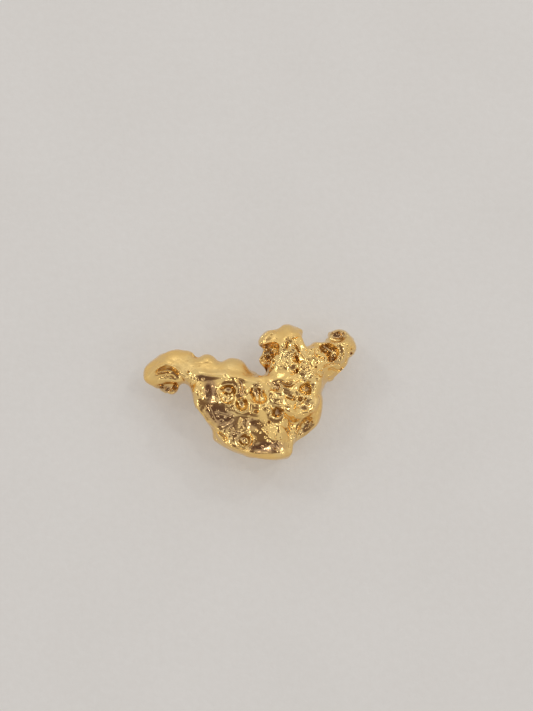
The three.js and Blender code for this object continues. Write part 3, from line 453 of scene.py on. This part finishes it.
crestMarks = {
    "ridge": [
        (0.06, 0.08, [(-0.2, 3.7), (0.1, 3.66), (0.4, 3.74), (0.7, 3.78), (0.95, 3.66)]),
        (0.05, 0.06, [(1.1, 2.78), (1.2, 2.6), (1.32, 2.38)]),
        (0.05, 0.09, [(1.48, 3.86), (1.64, 3.98), (1.9, 4.04)]),
        (0.045, 0.09, [(1.8, 3.72), (1.9, 3.5), (2.05, 3.25), (2.2, 3.02), (2.3, 2.8)]),
        (0.045, 0.07, [(0.52, 2.5), (0.5, 2.68), (0.6, 2.84), (0.73, 2.78), (0.7, 2.6), (0.58, 2.48)]),
        (0.07, 0.07, [(0.9, 3.6), (1.0, 3.3), (0.96, 3.0), (0.85, 2.75), (0.8, 2.4)]),
        (0.05, 0.05, [(0.05, 3.05), (-0.1, 2.85), (-0.05, 2.65), (0.1, 2.4)]),
        (0.05, 0.05, [(0.35, 2.6), (0.32, 2.35), (0.3, 2.1)]),
    ],
    "crease": [
        (0.06, 0.17, [(-0.22, 3.58), (0.1, 3.54), (0.4, 3.62), (0.7, 3.64), (0.9, 3.5)]),
        (0.04, 0.07, [(-0.06, 3.75), (0.04, 4.0), (0.2, 4.15), (0.4, 4.28), (0.58, 4.32)]),
        (0.055, 0.14, [(1.7, 4.58), (1.85, 4.5), (2.06, 4.5)]),
        (0.05, 0.12, [(1.33, 3.78), (1.32, 3.58), (1.28, 3.36)]),
        (0.05, 0.12, [(1.74, 3.6), (1.84, 3.4), (2.0, 3.18)]),
        (0.06, 0.22, [(0.28, 2.55), (0.23, 2.28), (0.17, 2.05)]),
        (0.045, 0.14, [(0.6, 2.42), (0.46, 2.22), (0.36, 2.08)]),
        (0.05, 0.10, [(-0.1, 3.0), (0.02, 2.9), (0.05, 2.72)]),
        (0.04, 0.06, [(2.4, 3.3), (2.32, 3.1), (2.4, 2.95)]),
        (0.04, 0.05, [(2.1, 4.4), (2.13, 4.2), (2.1, 4.0)]),
    ],
    "pit": [
        (0.66, 4.3, 0.1, 0.12, 0, 0.14), (0.83, 4.42, 0.06, 0.05, 0, 0.08),
        (1.87, 2.86, 0.09, 0.2, 20, 0.14), (1.34, 2.86, 0.06, 0.07, 0, 0.07),
        (1.84, 2.2, 0.08, 0.14, 0, 0.15), (0.3, 2.95, 0.14, 0.12, 0, 0.14),
        (0.28, 3.5, 0.12, 0.08, 0, 0.1), (0.5, 3.2, 0.1, 0.08, 0, 0.08),
        (0.85, 3.15, 0.08, 0.1, 0, 0.08), (0.62, 2.66, 0.07, 0.1, 0, 0.07),
        (1.2, 4.6, 0.06, 0.04, 0, 0.04), (0.5, 4.1, 0.05, 0.05, 0, 0.04),
        (1.55, 3.2, 0.08, 0.07, 0, 0.06), (1.6, 2.62, 0.06, 0.06, 0, 0.05),
        (1.15, 3.2, 0.05, 0.07, 0, 0.05), (0.78, 3.9, 0.05, 0.07, 0, 0.04),
        (1.0, 2.4, 0.06, 0.05, 0, 0.04), (2.42, 2.35, 0.06, 0.1, 0, 0.06),
        (1.75, 3.1, 0.06, 0.06, 0, 0.06), (1.6, 2.02, 0.1, 0.05, 0, 0.06),
        (1.3, 4.35, 0.05, 0.04, 0, 0.02),
    ],
    "bead": [
        (0.76, 4.3, 0.08, 0.07, 0, 0.08), (0.5, 4.2, 0.1, 0.06, 10, 0.05),
        (1.74, 3.96, 0.2, 0.06, 25, 0.05), (1.22, 3.7, 0.05, 0.13, 0, 0.08),
        (1.2, 3.45, 0.07, 0.1, 0, 0.08), (1.68, 3.47, 0.13, 0.08, -40, 0.09),
        (1.4, 3.52, 0.06, 0.06, 0, 0.06), (1.72, 2.86, 0.06, 0.07, 0, 0.06),
        (1.42, 2.9, 0.07, 0.07, 0, 0.07), (1.5, 2.52, 0.05, 0.11, -20, 0.06),
        (1.64, 2.22, 0.18, 0.06, 22, 0.08), (0.3, 3.35, 0.08, 0.08, 0, 0.07),
        (0.66, 3.3, 0.13, 0.07, 15, 0.08), (0.55, 3.52, 0.09, 0.05, 0, 0.06),
        (0.8, 3.45, 0.08, 0.06, 0, 0.06), (0.12, 3.3, 0.07, 0.09, 0, 0.07),
        (0.2, 2.8, 0.1, 0.07, 0, 0.07), (0.45, 2.95, 0.09, 0.07, 0, 0.06),
        (2.1, 2.56, 0.07, 0.07, 0, 0.06), (2.25, 2.4, 0.12, 0.1, 0, 0.08),
        (1.85, 3.05, 0.07, 0.05, 0, 0.05), (1.25, 3.05, 0.07, 0.06, 0, 0.05),
        (1.5, 3.32, 0.07, 0.06, 0, 0.06), (1.1, 4.6, 0.06, 0.05, 0, 0.04),
        (1.65, 2.98, 0.06, 0.06, 0, 0.05), (1.3, 2.7, 0.06, 0.07, 0, 0.05),
        (0.1, 3.02, 0.07, 0.06, 0, 0.06),
    ],
    "ring": [(2.24, 2.42, 0.27, 0.05, 0.05), (1.44, 3.14, 0.13, 0.04, 0.04)],
}

knobMarks = {
    "ridge": [
        (0.055, 0.08, [(3.4, 3.8), (3.62, 3.7), (3.82, 3.62), (4.0, 3.5)]),
        (0.06, 0.07, [(3.3, 2.66), (3.6, 2.66), (3.9, 2.72), (4.12, 2.7), (4.26, 2.88)]),
        (0.05, 0.07, [(3.05, 3.5), (3.1, 3.25), (3.0, 3.05), (3.2, 2.95), (3.5, 2.98)]),
        (0.05, 0.06, [(3.55, 4.15), (3.75, 4.38), (4.1, 4.42), (4.45, 4.34), (4.62, 4.1), (4.55, 3.9)]),
        (0.05, 0.06, [(3.3, 2.55), (3.6, 2.6), (3.95, 2.66)]),
        (0.05, 0.05, [(3.4, 2.2), (3.7, 2.24), (3.95, 2.12), (4.2, 2.16), (4.4, 2.35)]),
        (0.05, 0.05, [(2.6, 3.5), (2.75, 3.3), (2.72, 3.05), (2.85, 2.85)]),
        (0.05, 0.05, [(2.95, 3.75), (3.15, 3.68), (3.35, 3.75)]),
        (0.05, 0.05, [(4.7, 3.2), (4.62, 2.95), (4.5, 2.7)]),
    ],
    "crease": [
        (0.045, 0.11, [(3.25, 2.44), (3.5, 2.5), (3.8, 2.58), (4.05, 2.55), (4.18, 2.64)]),
        (0.045, 0.10, [(3.5, 2.28), (3.75, 2.34), (3.95, 2.22), (4.15, 2.26), (4.36, 2.42),
                       (4.48, 2.52)]),
        (0.05, 0.09, [(3.5, 1.76), (3.75, 1.86), (3.94, 2.0), (4.02, 2.14)]),
        (0.045, 0.09, [(2.86, 3.38), (2.82, 3.16), (2.9, 2.96)]),
        (0.045, 0.08, [(2.88, 3.06), (3.1, 2.92), (3.36, 2.84)]),
        (0.04, 0.09, [(4.3, 3.12), (4.26, 2.9)]), (0.04, 0.08, [(4.52, 2.85), (4.46, 2.68)]),
        (0.035, 0.09, [(2.85, 2.12), (3.0, 2.04), (3.16, 1.92)]),
        (0.05, 0.10, [(4.98, 3.28), (4.84, 3.18), (4.72, 3.1)]),
        (0.05, 0.08, [(3.6, 3.94), (3.9, 3.84), (4.2, 3.8), (4.44, 3.86)]),
        (0.04, 0.06, [(2.45, 2.78), (2.55, 2.55), (2.6, 2.35)]),
        (0.045, 0.06, [(4.62, 2.6), (4.68, 2.85), (4.62, 3.05)]),
    ],
    "pit": [
        (3.42, 3.5, 0.24, 0.16, -20, 0.05), (3.65, 3.3, 0.22, 0.16, -10, 0.05),
        (3.74, 2.85, 0.3, 0.11, 5, 0.1), (4.05, 4.1, 0.42, 0.24, 0, 0.1),
        (3.76, 4.2, 0.09, 0.08, 0, 0.08), (4.1, 4.24, 0.1, 0.08, 0, 0.08),
        (4.4, 4.2, 0.07, 0.08, 0, 0.07), (2.85, 2.4, 0.07, 0.07, 0, 0.12),
        (4.78, 3.14, 0.1, 0.08, 0, 0.14), (4.78, 3.38, 0.06, 0.08, 0, 0.09),
        (3.2, 3.16, 0.06, 0.05, 0, 0.05), (3.9, 3.28, 0.1, 0.08, 0, 0.08),
        (3.56, 1.8, 0.08, 0.06, 0, 0.06), (4.3, 3.62, 0.06, 0.04, 0, 0.04),
        (4.84, 3.9, 0.05, 0.05, 0, 0.03), (4.5, 3.4, 0.05, 0.06, 0, 0.05),
        (4.1, 3.45, 0.05, 0.05, 0, 0.05), (3.0, 3.3, 0.06, 0.07, 0, 0.06),
        (4.55, 3.0, 0.06, 0.06, 0, 0.06), (2.5, 3.08, 0.06, 0.06, 0, 0.04),
        (3.3, 2.1, 0.06, 0.06, 0, 0.05),
    ],
    "bead": [
        (3.92, 3.52, 0.07, 0.06, 0, 0.07), (4.8, 3.58, 0.1, 0.07, 0, 0.07),
        (4.22, 2.98, 0.04, 0.13, 0, 0.06), (4.4, 3.22, 0.07, 0.17, 0, 0.07),
        (4.1, 3.2, 0.06, 0.06, 0, 0.05), (2.6, 3.38, 0.08, 0.06, -30, 0.06),
        (2.55, 3.2, 0.1, 0.06, -30, 0.06), (2.72, 3.0, 0.09, 0.06, 0, 0.06),
        (2.68, 2.12, 0.07, 0.22, 8, 0.09), (3.1, 2.18, 0.17, 0.07, 0, 0.08),
        (3.02, 1.76, 0.17, 0.16, 0, 0.09), (3.62, 1.94, 0.12, 0.05, 10, 0.06),
        (3.28, 2.33, 0.07, 0.06, 0, 0.05), (3.25, 3.35, 0.08, 0.05, 0, 0.05),
        (3.5, 3.12, 0.1, 0.05, 10, 0.06), (3.85, 3.1, 0.09, 0.05, 0, 0.06),
        (4.72, 2.95, 0.06, 0.08, 0, 0.05), (3.0, 2.62, 0.14, 0.1, 0, 0.04),
        (4.6, 3.55, 0.08, 0.1, 0, 0.05), (2.45, 2.1, 0.09, 0.07, 0, 0.05),
        (3.3, 1.95, 0.08, 0.06, 0, 0.05), (3.8, 2.1, 0.08, 0.05, 0, 0.05),
        (4.9, 3.5, 0.05, 0.08, 0, 0.04), (3.6, 3.45, 0.07, 0.04, 0, 0.05),
        (2.8, 1.95, 0.08, 0.06, 0, 0.05), (3.35, 2.75, 0.07, 0.05, 0, 0.04),
        (2.35, 3.35, 0.06, 0.07, 0, 0.04),
    ],
}

# Every region's marks, and how strongly they are pressed into the skin.
seenMarks = ((armMarks, 1.1), (bellyMarks, 0.85), (sideMarks, 1.1), (crestMarks, 1.15), (knobMarks, 1.15))

# Marks on the back and underside, strewn over the skin where the view of the front doesn't reach.
hiddenMarks = {
    "pits": 120, "beads": 60, "creases": 60,
    "lowest": 0.12,  # height over the floor that every mark keeps
    "smallest": 0.1, "largest": 0.3,  # half width of a pit or bead
    "shortest": 0.6, "longest": 1.7,  # its half length, for a half width of 1
    "pitDepth": 0.55, "beadHeight": 0.35,  # for a half width of 1
    "creaseDepth": 0.09, "creaseHalf": 0.05, "creaseBend": 0.12, "creaseLength": 0.55,
    "creaseReach": 0.4,  # a crease doesn't cut the skin on the far side of a thin wall
}


def smoothStep(low, high, value):
    t = np.clip((value - low) / (high - low), 0, 1)
    return t * t * (3 - 2 * t)


def smoothPath(points, steps=6):
    # a smooth curve through given points
    p = np.array([points[0], *points, points[-1]], float)
    line = []
    for i in range(1, len(p) - 2):
        for t in np.linspace(0, 1, steps, endpoint=False):
            a, b, c, d = p[i - 1], p[i], p[i + 1], p[i + 2]
            line.append(0.5 * (2 * b + (c - a) * t + (2 * a - 5 * b + 4 * c - d) * t ** 2
                               + (3 * b - a - 3 * c + d) * t ** 3))
    return np.array([*line, p[-1]])


def farFromPath(uv, line):
    # distance to the line, and how far along it the nearest point is, from 0 to 1
    best = np.full(len(uv), 1e9)
    along = np.zeros(len(uv))
    lengths = np.linalg.norm(np.diff(line, axis=0), axis=1)
    total, done = lengths.sum(), 0.0
    for a, b, length in zip(line[:-1], line[1:], lengths):
        t = np.clip(((uv - a) @ (b - a)) / max(length * length, 1e-12), 0, 1)
        far = np.linalg.norm(uv - a - t[:, None] * (b - a), axis=1)
        nearer = far < best
        best[nearer] = far[nearer]
        along[nearer] = ((done + t * length) / total)[nearer]
        done += length
    return best, along


def ellipseRadius(uv, mark):
    u, v, halfU, halfV, turn = mark[:5]
    c, s = math.cos(math.radians(turn)), math.sin(math.radians(turn))
    d = uv - (u, v)
    return np.hypot((d[:, 0] * c + d[:, 1] * s) / halfU, (d[:, 1] * c - d[:, 0] * s) / halfV)


def pitProfile(r):
    # a bowl of depth 1 with a low rim round it, where r is 1 at the edge
    return -(1 - smoothStep(0.3, 1.1, r)) + 0.1 * np.exp(-((r - 1.16) / 0.18) ** 2)


def beadProfile(r):
    return np.sqrt(np.clip(1 - r * r, 0, 1)) * smoothStep(1.0, 0.7, r)


def swellProfile(r):
    return np.exp(-r ** 2)


def drawMarks(uv):
    # how far the marks lift each drawing point towards the viewer
    total = np.zeros(len(uv))
    for marks, strength in seenMarks:
        lift = np.zeros(len(uv))
        for kind, way in (("crease", -1), ("ridge", 1)):
            for half, height, points in marks[kind]:
                far, along = farFromPath(uv, smoothPath(points))
                ends = smoothStep(0, 0.12, along) * smoothStep(1, 0.88, along) * 0.7 + 0.3
                lift += way * height * ends * np.exp(-(far / half) ** 2)
        for kind, profile in (("pit", pitProfile), ("bead", beadProfile), ("swell", swellProfile)):
            for mark in marks.get(kind, []):
                lift += mark[5] * profile(ellipseRadius(uv, mark))
        for u, v, radius, half, height in marks.get("ring", []):
            far = np.abs(np.linalg.norm(uv - (u, v), axis=1) - radius)
            lift += height * np.exp(-(far / half) ** 2)
        total += strength * lift
    return total


def readPoints(mesh):
    points = np.empty(len(mesh.vertices) * 3)
    mesh.vertices.foreach_get("co", points)
    return points.reshape(-1, 3)


def writePoints(mesh, points):
    mesh.vertices.foreach_set("co", points.ravel())
    mesh.update()


def readNormals(mesh):
    normals = np.empty(len(mesh.vertices) * 3)
    mesh.vertex_normals.foreach_get("vector", normals)
    return normals.reshape(-1, 3)


def readEdges(mesh):
    edges = np.empty(len(mesh.edges) * 2, int)
    mesh.edges.foreach_get("vertices", edges)
    return edges.reshape(-1, 2)


def relax(points, edges, rounds, share=0.5):
    # each point moves towards the middle of its neighbours
    a, b = edges.T
    count = np.bincount(edges.ravel(), minlength=len(points))[:, None]
    for _ in range(rounds):
        total = np.zeros_like(points)
        for axis in range(points.shape[1]):
            total[:, axis] = (np.bincount(a, points[b, axis], len(points))
                              + np.bincount(b, points[a, axis], len(points)))
        points = points + share * (total / count - points)
    return points


def waves(points, length, seed):
    # smooth noise from about -1 to 1: random slopes on a lattice, blended between its corners
    random = np.random.default_rng(seed)
    size = 64  # the lattice repeats after as many cells
    inside, gain = 1000.5, 1.6  # keeps all places on its positive side, and evens the height out
    slopes = random.normal(size=(size ** 3, 3))
    slopes /= np.linalg.norm(slopes, axis=1)[:, None]
    p = points / length + inside
    cell = np.floor(p).astype(int)
    f = p - cell
    fade = f ** 3 * (f * (f * 6 - 15) + 10)
    total = np.zeros(len(points))
    for corner in np.ndindex(2, 2, 2):
        c = (cell + corner) % size
        slope = slopes[c[:, 0] + size * (c[:, 1] + size * c[:, 2])]
        share = np.prod(np.where(corner, fade, 1 - fade), axis=1)
        total += share * np.sum(slope * (f - corner), axis=1)
    return total * gain


def strewHidden(points, normals, facing):
    # pits, beads and creases at random places of the side that is not seen
    random = np.random.default_rng(skinSettings["seed"])
    lift = np.zeros(len(points))
    hidden = facing < skinSettings["seen"][0]
    places = np.flatnonzero(hidden & (points[:, 2] > hiddenMarks["lowest"]))
    count = hiddenMarks["pits"] + hiddenMarks["beads"] + hiddenMarks["creases"]
    for number, pick in enumerate(random.choice(places, count, replace=False)):
        size = random.uniform(hiddenMarks["smallest"], hiddenMarks["largest"])
        stretch = random.uniform(hiddenMarks["shortest"], hiddenMarks["longest"])
        along = np.cross(normals[pick], random.normal(size=3))
        along /= np.linalg.norm(along)
        across = np.cross(normals[pick], along)
        d = points - points[pick]
        out = d @ normals[pick]
        longways, sideways, inwards = d @ along / (size * stretch), d @ across / size, out / (2 * size)
        r = np.sqrt(longways ** 2 + sideways ** 2 + inwards ** 2)
        if number < hiddenMarks["pits"]:
            lift += hiddenMarks["pitDepth"] * size * pitProfile(r)
        elif number < hiddenMarks["pits"] + hiddenMarks["beads"]:
            lift += hiddenMarks["beadHeight"] * size * beadProfile(r)
        else:
            bent = (d @ across) + hiddenMarks["creaseBend"] * np.sin(d @ along * 9)
            ends = smoothStep(hiddenMarks["creaseLength"], 0.3, np.abs(d @ along))
            stripe = np.exp(-(bent / hiddenMarks["creaseHalf"]) ** 2) * ends
            lift -= hiddenMarks["creaseDepth"] * stripe * (np.abs(out) < hiddenMarks["creaseReach"])
    return np.where(lift > 0, lift * smoothStep(0.1, -0.3, facing), lift * smoothStep(0.3, 0.0, facing))


def meltForm(nugget):
    # welds the solid and smooths its facets away
    makeActive(nugget)
    bpy.ops.object.mode_set(mode="EDIT")
    bpy.ops.mesh.select_all(action="SELECT")
    bpy.ops.mesh.remove_doubles(threshold=skinSettings["weld"])
    bpy.ops.object.mode_set(mode="OBJECT")
    for voxel, rounds in skinSettings["remesh"]:
        applyModifier(nugget, "REMESH", mode="VOXEL", voxel_size=voxel)
        mesh = nugget.data
        writePoints(mesh, relax(readPoints(mesh), readEdges(mesh), rounds))


def pressMarks(mesh):
    # gives back where every point lies on the drawing, the same with wandering, and how well it is seen
    points, normals = readPoints(mesh), readNormals(mesh)
    sight = np.array((0, -lean, rise))
    facing = normals @ sight
    seenShare = smoothStep(*skinSettings["seen"], facing)
    uv = np.stack([points[:, 0], points[:, 1] * rise + points[:, 2] * lean], axis=1)
    length, reach = skinSettings["wander"]
    drift = [waves(points, length, skinSettings["seed"] + n) for n in (5, 6)]
    wandered = uv + reach * np.stack(drift, axis=1)
    moved = points + (drawMarks(wandered) * seenShare)[:, None] * sight
    grounded = smoothStep(0.0, skinSettings["markBand"], points[:, 2])
    moved += (strewHidden(points, normals, facing) * grounded)[:, None] * normals
    writePoints(mesh, moved)
    return uv, wandered, seenShare


def rippleSkin(mesh):
    # softens the marks, lays faint ripples over them and gives back the finished points
    points = relax(readPoints(mesh), readEdges(mesh), 1, skinSettings["soften"])
    writePoints(mesh, points)
    ripple = sum(height * waves(points, length, skinSettings["seed"] + n)
                 for n, (length, height) in enumerate(skinSettings["ripple"]))
    grounded = smoothStep(0.0, skinSettings["rippleBand"], points[:, 2])
    points = points + (ripple * grounded)[:, None] * readNormals(mesh)
    points[:, 2] = np.maximum(points[:, 2], 0)
    writePoints(mesh, points)
    return points


def paintSkin(mesh, points, uv, wandered, seenShare):
    # how hollow, rubbed and matt each spot is, and where painted dark reflection and shade go, for the
    # metal's colour and roughness
    edges, normals = readEdges(mesh), readNormals(mesh)
    narrow, wide = (np.sum((relax(points, edges, rounds) - points) * normals, axis=1)
                    for rounds in skinSettings["sink"])
    satin = [smoothStep(1.25, 0.75, ellipseRadius(uv, patch)) for patch in satinPatches]
    # where painted dark reflection and painted shade go
    darkReflectionAndShade = [patch[5] * smoothStep(1.3, 0.55, ellipseRadius(wandered, patch)) for patch in darkReflectionAndShadePatches]
    painted = {
        "hollow": smoothStep(0.0, 0.16, wide * 0.8 + narrow),
        "wear": smoothStep(0.0, 0.05, -narrow),
        "satin": np.max(satin, axis=0) * seenShare,
        "darkReflectionAndShade": np.max(darkReflectionAndShade, axis=0) * seenShare,
    }
    for name, values in painted.items():
        attribute = mesh.attributes.new(name, "FLOAT", "POINT")
        attribute.data.foreach_set("value", values)


def countTriangles(mesh):
    return sum(len(p.vertices) - 2 for p in mesh.polygons)


def makeSkin(material):
    source = bpy.data.objects["nugget"]
    nugget = bpy.data.objects.new("nugget_skin", source.data.copy())
    bpy.context.scene.collection.objects.link(nugget)
    nugget.data.materials.clear()
    writePoints(nugget.data, readPoints(nugget.data) / millimetre)  # worked in millimetres
    meltForm(nugget)
    mesh = nugget.data
    print("form melted:", len(mesh.vertices), "points")
    uv, wandered, seenShare = pressMarks(mesh)
    print("marks drawn")
    points = rippleSkin(mesh)
    paintSkin(mesh, points, uv, wandered, seenShare)
    writePoints(mesh, points * millimetre)
    share = skinSettings["mostTriangles"] / countTriangles(mesh)
    applyModifier(nugget, "DECIMATE", ratio=min(1.0, share))
    makeActive(nugget)
    bpy.ops.object.shade_smooth()
    nugget.data.materials.clear()
    nugget.data.materials.append(material)
    print("skin finished:", countTriangles(nugget.data), "triangles")
    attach(nugget, "root")
    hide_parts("nugget")


# floor

floorSettings = {
    "side": 3.0,
    "colour": (0.60, 0.585, 0.555, 1), "shade": (0.53, 0.51, 0.475, 1),
    "glow": 0.41,  # light that the floor passes on inside itself, which keeps its shadows faint
    "softScale": 140.0, "fineScale": 2600.0,  # of its soft mottling and its fine grain
    "share": 0.45,  # how much each of the two counts in the colour
    "relief": 0.25, "reliefDepth": 0.1,
}


def makeFloor():
    deselectAll()
    bpy.ops.mesh.primitive_plane_add(size=floorSettings["side"], location=(0, 0, 0))
    floor = bpy.context.object
    floor.name = "floor"
    material = bpy.data.materials.new("pale floor")
    s = Shader(material)
    place = s.add("ShaderNodeTexCoord").outputs["Object"]
    soft = s.noise(place, floorSettings["softScale"], 2.0)
    fine = s.noise(place, floorSettings["fineScale"], 3.0)
    counted = [s.maths("MULTIPLY", pattern, floorSettings["share"]) for pattern in (soft, fine)]
    share = s.maths("ADD", *counted, clamp=True)
    colour = s.blend(share, floorSettings["colour"], floorSettings["shade"])
    depth = floorSettings["reliefDepth"] * millimetre
    relief = floorSettings["relief"]
    bump = s.add("ShaderNodeBump", {"Height": fine, "Strength": relief, "Distance": depth})
    matte = s.add("ShaderNodeBsdfPrincipled", {
        "Base Color": colour, "Roughness": 0.95, "Normal": bump.outputs[0], "Specular IOR Level": 0.1,
        "Emission Color": colour, "Emission Strength": floorSettings["glow"]})
    s.add("ShaderNodeOutputMaterial", {"Surface": matte.outputs[0]})
    floor.data.materials.append(material)


# light

lightSettings = {
    "sky": (0.72, 0.72, 0.73, 1),
    "dusk": (0.19, 0.14, 0.14, 1),  # the darker side that the viewer stands on
    "duskFrom": (-0.06, -0.27, 0.96),
    "duskInner": 0.87, "duskOuter": 0.66,  # cosines of the angles where it starts and ends
    "strength": 1.0,
    # direction, distance in millimetres, size in millimetres, brightness
    "lamps": [
        ((-0.62, 0.42, 0.66), 160, 18, 18.0),
        ((0.55, 0.5, 0.66), 170, 18, 18.0),
        ((-0.05, 0.85, 0.52), 180, 30, 3.0),
        ((-0.8, -0.3, 0.5), 170, 16, 16.0),
        ((0.75, -0.35, 0.55), 170, 16, 16.0),
        ((0.5, 0.06, 0.86), 170, 18, 18.0),
        ((-0.35, -0.1, 0.93), 170, 9, 22.0),
    ],
}


def makeLight():
    world = bpy.data.worlds.new("studio")
    bpy.context.scene.world = world
    s = Shader(world)
    way = s.add("ShaderNodeTexCoord").outputs["Generated"]
    toward = Vector(lightSettings["duskFrom"]).normalized()
    dot = s.add("ShaderNodeVectorMath", {0: way, 1: toward}, operation="DOT_PRODUCT").outputs["Value"]
    share = s.span(dot, lightSettings["duskOuter"], lightSettings["duskInner"])
    colour = s.blend(share, lightSettings["sky"], lightSettings["dusk"])
    light = s.add("ShaderNodeBackground", {"Color": colour, "Strength": lightSettings["strength"]})
    s.add("ShaderNodeOutputWorld", {"Surface": light.outputs[0]})
    for number, (way, far, size, bright) in enumerate(lightSettings["lamps"]):
        data = bpy.data.lights.new(f"lamp {number + 1}", "AREA")
        data.shape = "DISK"
        data.size = size * millimetre
        area = math.pi * (data.size / 2) ** 2
        data.energy = bright * math.pi * area
        lamp = bpy.data.objects.new(data.name, data)
        lamp.location = Vector(way).normalized() * far * millimetre
        lamp.rotation_euler = Vector(way).to_track_quat("Z", "Y").to_euler()
        bpy.context.scene.collection.objects.link(lamp)


makeCamera()
print("camera set")
makeFloor()
makeLight()
print("floor and light set")
makeSkin(makeGold())
bpy.context.scene.view_settings.view_transform = "Standard"
